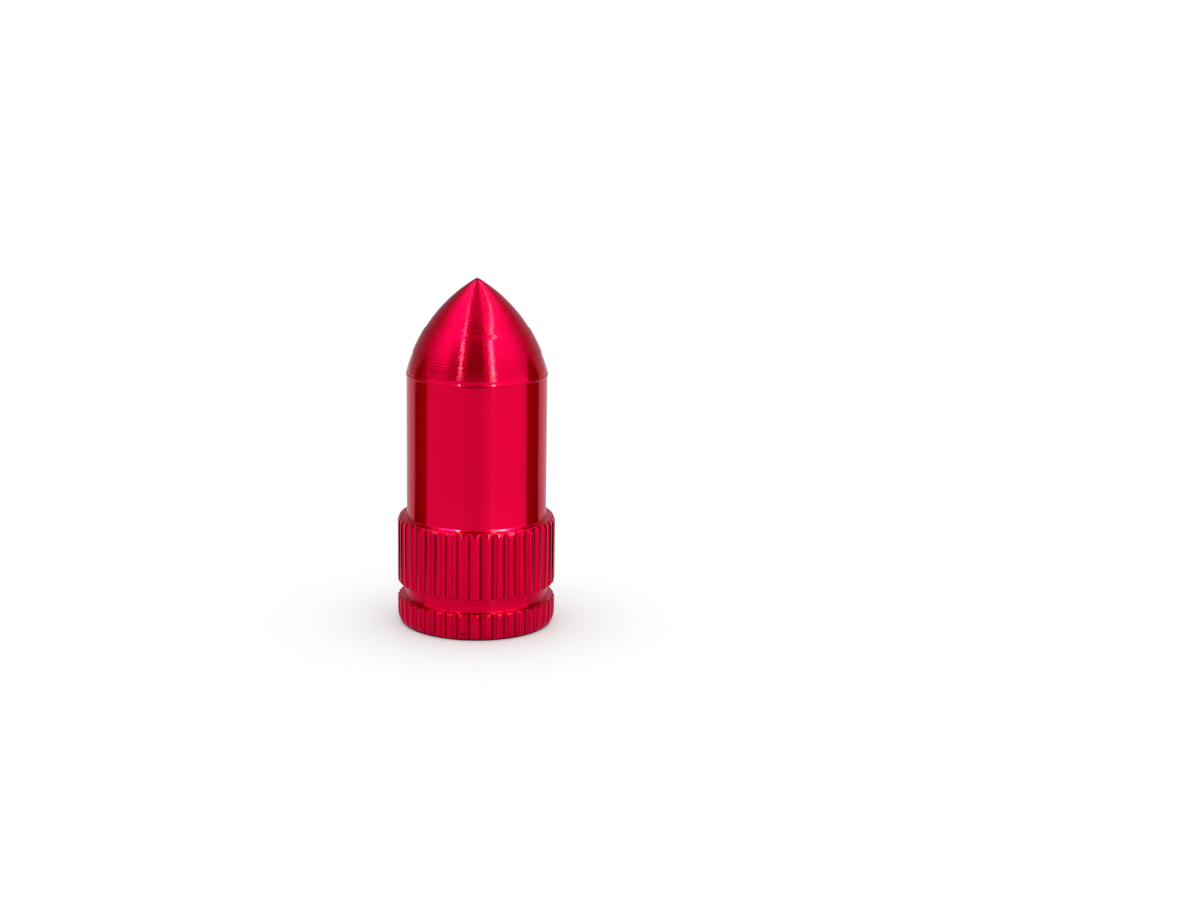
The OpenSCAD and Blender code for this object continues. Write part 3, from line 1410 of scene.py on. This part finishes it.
@dataclass
class CapBody:
    """The cap itself: one turned, knurled, bored and threaded piece, in millimetres.

    Attributes:
        ring_height: height of the knurled ring at the base.
        groove_height: height of the turned groove.
        collar_height: height of the knurled collar.
        barrel_height: height of the plain barrel.
        lip_height: height of the lip.
        nose_height: height of the nose.
        collar_radius: radius over the teeth.
        groove_radius: radius at the floor of the turned groove.
        barrel_radius: radius of the barrel.
        nose_radius: radius of the nose at its foot.
        nose_lean: lean of the nose at its foot, in degrees.
        tip_radius: radius of the rounded tip.
        band: heights above the nose's foot at which the band round it begins and ends.
        band_out: how far the band stands out.
        band_step: height of the step at the band's foot.
        band_run_out: height over which the band runs out into the nose above it.
        barrel_fillet: size of the fillet between the barrel and the collar.
        groove_fillet: size of the fillets at the floor of the turned groove.
        lip: the lip's corners from the top down, out from the barrel and up from its top.
        shoulder: the corners of the collar's top edge, from the teeth and from the collar's top.
        collar_edge: the corners of its lower edge, from the teeth and from the collar's foot.
        ring_edge: the corners of the ring's upper edge, from the teeth and from the ring's top.
        base_edge: the corners of the bulging edge of the base, from the teeth and from the base.
        thread_depth: depth at which the thread ends.
        mouth_chamfer: how far the countersink of the mouth is wider than the thread's crests.
        relief_radius: radius of the relief that holds the seal.
        relief_rounding: size of the rounding at its end.
        shoulder_height: height at which the relief ends.
        pocket_radius: radius of the drilled pocket.
        pocket_height: height of the pocket's straight part.
        drill_point: angle of the drill's point, in degrees.
        tool_past: how far the hollow's tool reaches past the base.
        tool_slack: how far its core stays inside the thread's crests.
        tap_past: how far the tap reaches past the base, and past the thread's end.
        smooth_angle: the angle between faces up to which they are shaded smooth, in degrees.
        normal_weight: how strongly large faces steer the shading at their edges.
        knurl: the knurl.
        thread: the valve thread.
        finish: the finish of the metal.
    """

    ring_height: float = 1.9
    groove_height: float = 1.0
    collar_height: float = 4.7
    barrel_height: float = 10.0
    lip_height: float = 0.2
    nose_height: float = 6.45
    collar_radius: float = 5.5
    groove_radius: float = 5.0
    barrel_radius: float = 4.855
    nose_radius: float = 4.855
    nose_lean: float = 14.6
    tip_radius: float = 0.16
    band: Span = (1.4, 2.9)
    band_out: float = 0.04
    band_step: float = 0.015
    band_run_out: float = 0.15
    barrel_fillet: float = 0.2
    groove_fillet: float = 0.12
    lip: tuple[Corner, ...] = (
        Corner(-0.002, 0.165, 0.005),
        Corner(0.05, 0.08, 0.03),
        Corner(0.04, 0.01, 0.015),
        Corner(0.0, -0.03, 0.008),
    )
    shoulder: tuple[Corner, ...] = (
        Corner(-0.21, 0.0, 0.03),
        Corner(-0.125, -0.06, 0.03),
        Corner(0.0, -0.35, 0.03),
    )
    collar_edge: tuple[Corner, ...] = (
        Corner(0.0, 0.12, 0.05, steps=4),
        Corner(-0.12, 0.0, 0.03, steps=3),
    )
    ring_edge: tuple[Corner, ...] = (
        Corner(-0.12, 0.0, 0.03),
        Corner(0.0, -0.12, 0.04, steps=3),
    )
    base_edge: tuple[Corner, ...] = (
        Corner(0.0, 0.62, 0.16),
        Corner(-0.095, 0.31, 0.14, steps=2),
        Corner(-0.27, 0.0, 0.06, steps=2),
    )
    thread_depth: float = 9.0
    mouth_chamfer: float = 0.7
    relief_radius: float = 4.025
    relief_rounding: float = 0.05
    shoulder_height: float = 10.6
    pocket_radius: float = 2.5
    pocket_height: float = 2.0
    drill_point: float = 118.0
    tool_past: float = 0.5
    tool_slack: float = 0.1
    tap_past: tuple[float, float] = (0.2, 0.1)
    smooth_angle: float = 30.0
    normal_weight: int = 60
    knurl: Knurl = field(default_factory=Knurl)
    thread: ValveThread = field(default_factory=ValveThread)
    finish: AnodisedFinish = field(default_factory=AnodisedFinish)

    @property
    def barrel_foot(self) -> float:
        """Height of the top of the collar."""
        return self.ring_height + self.groove_height + self.collar_height

    @property
    def lip_foot(self) -> float:
        """Height of the top of the barrel."""
        return self.barrel_foot + self.barrel_height

    @property
    def nose_foot(self) -> float:
        """Height of the foot of the nose."""
        return self.lip_foot + self.lip_height

    def nose_section(self) -> list[Point]:
        """The nose from the tip down: a round tip that runs into one long arc with a raised band.

        Returns:
            The points, as radius and height.
        """
        lean = math.radians(self.nose_lean)
        tip = self.nose_foot + self.nose_height - self.tip_radius
        rise = tip - self.nose_foot
        span = self.nose_radius**2 + rise**2 - self.tip_radius**2
        slack = self.nose_radius * math.cos(lean) - rise * math.sin(lean) - self.tip_radius
        ogive = span / (2 * slack)
        centre = (
            self.nose_radius - ogive * math.cos(lean),
            self.nose_foot - ogive * math.sin(lean),
        )
        join = math.asin((tip - centre[1]) / (ogive - self.tip_radius))
        raised = ogive + self.band_out
        foot, top = (self.nose_foot + height - centre[1] for height in self.band)
        above = math.asin((top + self.band_run_out) / ogive)
        below = math.asin((foot - self.band_step) / ogive)
        points = arc((0.0, tip), self.tip_radius, math.pi / 2, join, steps=6)
        points += arc(centre, ogive, join, above, steps=24)[1:]
        points += arc(centre, raised, math.asin(top / raised), math.asin(foot / raised), steps=12)
        points += arc(centre, ogive, below, lean, steps=10)
        return points

    def outer_section(self) -> list[Point]:
        """The outside of the cap from the tip to the middle of its base.

        Returns:
            The points, as radius and height.
        """
        side, barrel = self.collar_radius, self.barrel_radius
        collar_foot = self.ring_height + self.groove_height
        nose = self.nose_section()
        corners = [
            Corner(*nose[-1]),
            *(corner.moved(barrel, self.lip_foot) for corner in self.lip),
            Corner(barrel, self.barrel_foot, self.barrel_fillet, steps=3),
            *(corner.moved(side, self.barrel_foot) for corner in self.shoulder),
            *(corner.moved(side, collar_foot) for corner in self.collar_edge),
            Corner(self.groove_radius, collar_foot, self.groove_fillet),
            Corner(self.groove_radius, self.ring_height, self.groove_fillet),
            *(corner.moved(side, self.ring_height) for corner in self.ring_edge),
            *(corner.moved(side, 0.0) for corner in self.base_edge),
            Corner(0.0, 0.0),
        ]
        return nose[:-1] + rounded_section(corners)

    def sweep_tooth(self) -> bpy.types.Object:
        """Sweeps the section across one tooth and sinks the halves of the grooves beside it.

        Returns:
            The slice of the cap that one tooth takes, open at its sides.
        """
        section = self.outer_section()
        columns = self.knurl.columns()
        body = draw_section("valve_cap_body", section)
        bpy.ops.mesh.select_all(action="SELECT")
        self.turn_selection(columns[0] + FRONT)
        for angle, next_angle in zip(columns, columns[1:]):
            bpy.ops.mesh.extrude_edges_move()
            self.turn_selection(next_angle - angle)
        self.sink_grooves(body, columns)
        return body

    def turn_selection(self, degrees: float) -> None:
        """Turns what is selected round the axis, anticlockwise as seen from above."""
        bpy.ops.transform.rotate(
            value=-math.radians(degrees), orient_axis="Z", center_override=AXIS_POINT
        )

    def sink_grooves(self, body: bpy.types.Object, columns: list[float]) -> None:
        """Presses the vertices of each column in to the groove, where they stand out of it.

        Args:
            body: the slice, in edit mode.
            columns: the angles of its columns from the middle of the tooth.
        """
        for angle in columns:
            sink = self.knurl.sink(angle)
            if not sink:
                continue
            limit = self.collar_radius - sink
            heading = math.radians(angle + FRONT)
            outwards = Vector((math.cos(heading), math.sin(heading)))
            mesh = bmesh.from_edit_mesh(body.data)
            for vertex in mesh.verts:
                out = outwards @ vertex.co.xy
                aside = (vertex.co.xy - out * outwards).length
                if aside < COLUMN_DISTANCE and out > limit:
                    bpy.ops.mesh.select_all(action="DESELECT")
                    vertex.select_set(True)
                    scale = limit / out
                    bpy.ops.transform.resize(
                        value=(scale, scale, 1.0), center_override=AXIS_POINT
                    )

    def copy_round(self) -> None:
        """Copies the slice round the axis, once for each tooth, and closes the seams."""
        pitch = math.radians(self.knurl.pitch)
        bpy.ops.mesh.select_all(action="SELECT")
        bpy.ops.mesh.spin(
            steps=self.knurl.teeth - 1,
            dupli=True,
            angle=math.tau - pitch,
            center=AXIS_POINT,
            axis=(0, 0, 1),
        )
        merge_doubles()
        face_outwards()
        finish_edit()

    def hollow_tool(self) -> bpy.types.Object:
        """Makes the solid of the hollow: countersink, relief for the seal, and drilled pocket.

        Returns:
            The tool, which leaves the thread to the tap.
        """
        crest = self.thread.crest_radius
        core = crest - self.tool_slack
        mouth = crest + self.mouth_chamfer
        pocket_end = self.shoulder_height + self.pocket_height
        point = pocket_end + self.pocket_radius / math.tan(math.radians(self.drill_point / 2))
        corners = [
            Corner(0.0, -self.tool_past),
            Corner(mouth + self.tool_past, -self.tool_past),
            Corner(core, self.mouth_chamfer + self.tool_slack),
            Corner(core, self.thread_depth),
            Corner(self.relief_radius, self.thread_depth),
            Corner(self.relief_radius, self.shoulder_height, self.relief_rounding),
            Corner(self.pocket_radius, self.shoulder_height),
            Corner(self.pocket_radius, pocket_end),
            Corner(0.0, point),
        ]
        return turn_section("hollow_tool", rounded_section(corners), self.thread.sides)

    def build(self) -> bpy.types.Object:
        """Makes the body and dresses it.

        Returns:
            The finished piece, in metres.
        """
        body = self.sweep_tooth()
        self.copy_round()
        hollow = self.hollow_tool()
        below, beyond = self.tap_past
        tap = self.thread.tap(-below, self.thread_depth + beyond)
        combine(hollow, tap, Joining.FUSE)
        combine(body, hollow, Joining.CUT)
        make_active(body)
        bpy.ops.transform.resize(value=(MM, MM, MM), center_override=AXIS_POINT)
        bpy.ops.object.transform_apply(location=True, rotation=True, scale=True)
        bpy.ops.object.shade_smooth_by_angle(angle=math.radians(self.smooth_angle))
        apply_modifier(body, "WEIGHTED_NORMAL", keep_sharp=True, weight=self.normal_weight)
        body.data.materials.clear()
        body.data.materials.append(self.finish.material())
        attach(body, "root")
        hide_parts("cap_body")
        return body


@dataclass
class Seal:
    """The flat rubber seal at the end of the thread.

    Attributes:
        finish: the finish of the rubber.
    """

    finish: RubberFinish = field(default_factory=RubberFinish)

    def dress(self, node: bpy.types.Object) -> bpy.types.Object:
        """Gives the seal its rubber.

        Args:
            node: the seal's node.

        Returns:
            The same node.
        """
        node.data.materials.clear()
        node.data.materials.append(self.finish.material())
        return node


@dataclass
class Studio:
    """The floor, the light tent, the side cards and the camera, in metres.

    Attributes:
        aim: height on the axis at which the camera looks.
        distance: from there to the camera.
        elevation: of the camera above the floor, in degrees.
        turn: how far the camera, the tent and the cards are turned to the right, in degrees.
        roll: how far the camera is rolled to the left, in degrees.
        lens: focal length in millimetres.
        shift: how far the picture is shifted sideways and up, as shares of its width.
        clip: how near and how far the camera sees.
        floor_size: side of the floor.
        floor_cells: how many cells the floor has along each side.
        tent_radius: radius of the light tent.
        tent_height: height of its centre.
        tent_rings: how many rings of faces the tent has, half as many as each ring has faces.
        sky: brightness of the world, as the floor and the rubber see it.
        card_away: distance of the side cards from the axis.
        card_back: how far behind the axis the middle of a card stands.
        card_half_width: half the width of a card.
        card_height: height of a card's straight sides.
        card_rise: height of its arched top.
        card_fullness: how the arch rises from the sides; 1 would leave it straight.
        card_columns: how many columns of faces a card has.
    """

    aim: float = 0.012
    distance: float = 0.160
    elevation: float = 13.22
    turn: float = 1.0
    roll: float = 0.23
    lens: float = 69.17
    shift: tuple[float, float] = (0.1028, 0.0021)
    clip: tuple[float, float] = (0.0016, 24.0)
    floor_size: float = 6.0
    floor_cells: int = 4
    tent_radius: float = 0.6
    tent_height: float = 0.018
    tent_rings: int = 24
    sky: float = 1.15
    card_away: float = 0.0175
    card_back: float = 0.0012
    card_half_width: float = 0.0049
    card_height: float = 0.0178
    card_rise: float = 0.0064
    card_fullness: float = 0.55
    card_columns: int = 24

    def build(self) -> None:
        """Makes everything round the object."""
        self.lay_floor()
        self.hang_tent()
        self.light_world()
        for side in Side:
            self.place_card(side)
        self.place_camera()

    def hide_but_reflect(self, piece: bpy.types.Object) -> None:
        """Leaves a piece of the studio to reflections alone.

        Args:
            piece: the piece.
        """
        for ray in ("camera", "diffuse", "transmission", "volume_scatter", "shadow"):
            setattr(piece, f"visible_{ray}", False)

    def lay_floor(self) -> None:
        """Lays the white floor, in its own finish."""
        deselect_everything()
        cells, size = self.floor_cells, self.floor_size
        bpy.ops.mesh.primitive_grid_add(x_subdivisions=cells, y_subdivisions=cells, size=size)
        floor = bpy.context.object
        floor.name = "floor"
        floor.data.materials.append(FloorFinish().material())

    def hang_tent(self) -> None:
        """Hangs the light tent, which only the metal sees."""
        deselect_everything()
        rings, radius = self.tent_rings, self.tent_radius
        bpy.ops.mesh.primitive_uv_sphere_add(segments=2 * rings, ring_count=rings, radius=radius)
        tent = bpy.context.object
        tent.name = "light_tent"
        tent.location.z = self.tent_height
        tent.rotation_euler.z = math.radians(self.turn)
        bpy.ops.object.shade_smooth()
        tent.data.materials.append(TentFinish().material())
        self.hide_but_reflect(tent)

    def light_world(self) -> None:
        """Sets the world: white to the camera and to reflections, and the soft light of the sky."""
        world = bpy.data.worlds.new("studio_world")
        bpy.context.scene.world = world
        world.use_nodes = True
        bench = NodeBench(world.node_tree)
        path = bench.add("ShaderNodeLightPath", output="Is Camera Ray")
        rays = path.socket.node.outputs
        seen = path.higher(Value(bench, rays["Is Glossy Ray"]))
        seen = seen.higher(Value(bench, rays["Is Transmission Ray"]))
        strength = self.sky + (1.0 - self.sky) * seen
        sockets = {"Color": opaque((1.0, 1.0, 1.0)), "Strength": strength}
        white = bench.add("ShaderNodeBackground", None, sockets)
        bench.add("ShaderNodeOutputWorld", None, {"Surface": white})

    def place_card(self, side: Side) -> None:
        """Stands a red card with an arched top beside the object, for the metal to reflect: a painted
        reflection that glows.

        Args:
            side: which side it stands on.
        """
        away = side.value * self.card_away
        deselect_everything()
        columns = self.card_columns
        bpy.ops.mesh.primitive_grid_add(x_subdivisions=columns, y_subdivisions=1, size=1.0)
        card = bpy.context.object
        card.name = f"side_card_{side.name.lower()}"
        bpy.ops.object.mode_set(mode="EDIT")
        mesh = bmesh.from_edit_mesh(card.data)
        for vertex in mesh.verts:
            across = vertex.co.x * 2
            arch = self.card_rise * max(1.0 - abs(across), 0.0) ** self.card_fullness
            top = self.card_height + arch if vertex.co.y > 0 else 0.0
            vertex.co = Vector((away, self.card_back + across * self.card_half_width, top))
        bmesh.update_edit_mesh(card.data)
        finish_edit()
        card.rotation_euler.z = math.radians(self.turn)
        card.data.materials.append(CardFinish().material())
        self.hide_but_reflect(card)

    def place_camera(self) -> None:
        """Sets the camera where the photograph was taken from."""
        lift, turn = math.radians(self.elevation), math.radians(self.turn)
        data = bpy.data.cameras.new("camera")
        data.lens = self.lens
        data.shift_x, data.shift_y = self.shift
        camera = bpy.data.objects.new("camera", data)
        bpy.context.scene.collection.objects.link(camera)
        level = self.distance * math.cos(lift)
        camera.location = (
            level * math.sin(turn),
            -level * math.cos(turn),
            self.aim + self.distance * math.sin(lift),
        )
        upright = Euler((math.pi / 2 - lift, 0.0, turn)).to_matrix()
        roll = Matrix.Rotation(math.radians(self.roll), 3, "Z")
        camera.rotation_euler = (upright @ roll).to_euler()
        data.clip_start, data.clip_end = self.clip
        bpy.context.scene.camera = camera


def main() -> None:
    """Builds the cap in its studio."""
    logging.basicConfig(level=logging.INFO, format="%(message)s")
    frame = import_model()
    bpy.context.scene.view_settings.view_transform = "Standard"
    Studio().build()
    LOG.info("studio set")
    body = CapBody().build()
    LOG.info("%s: %d faces", body.name, len(body.data.polygons))
    seal = Seal().dress(frame["nodes"]["seal_ring"])
    LOG.info("%s dressed", seal.name)


if __name__ == "__main__":
    main()
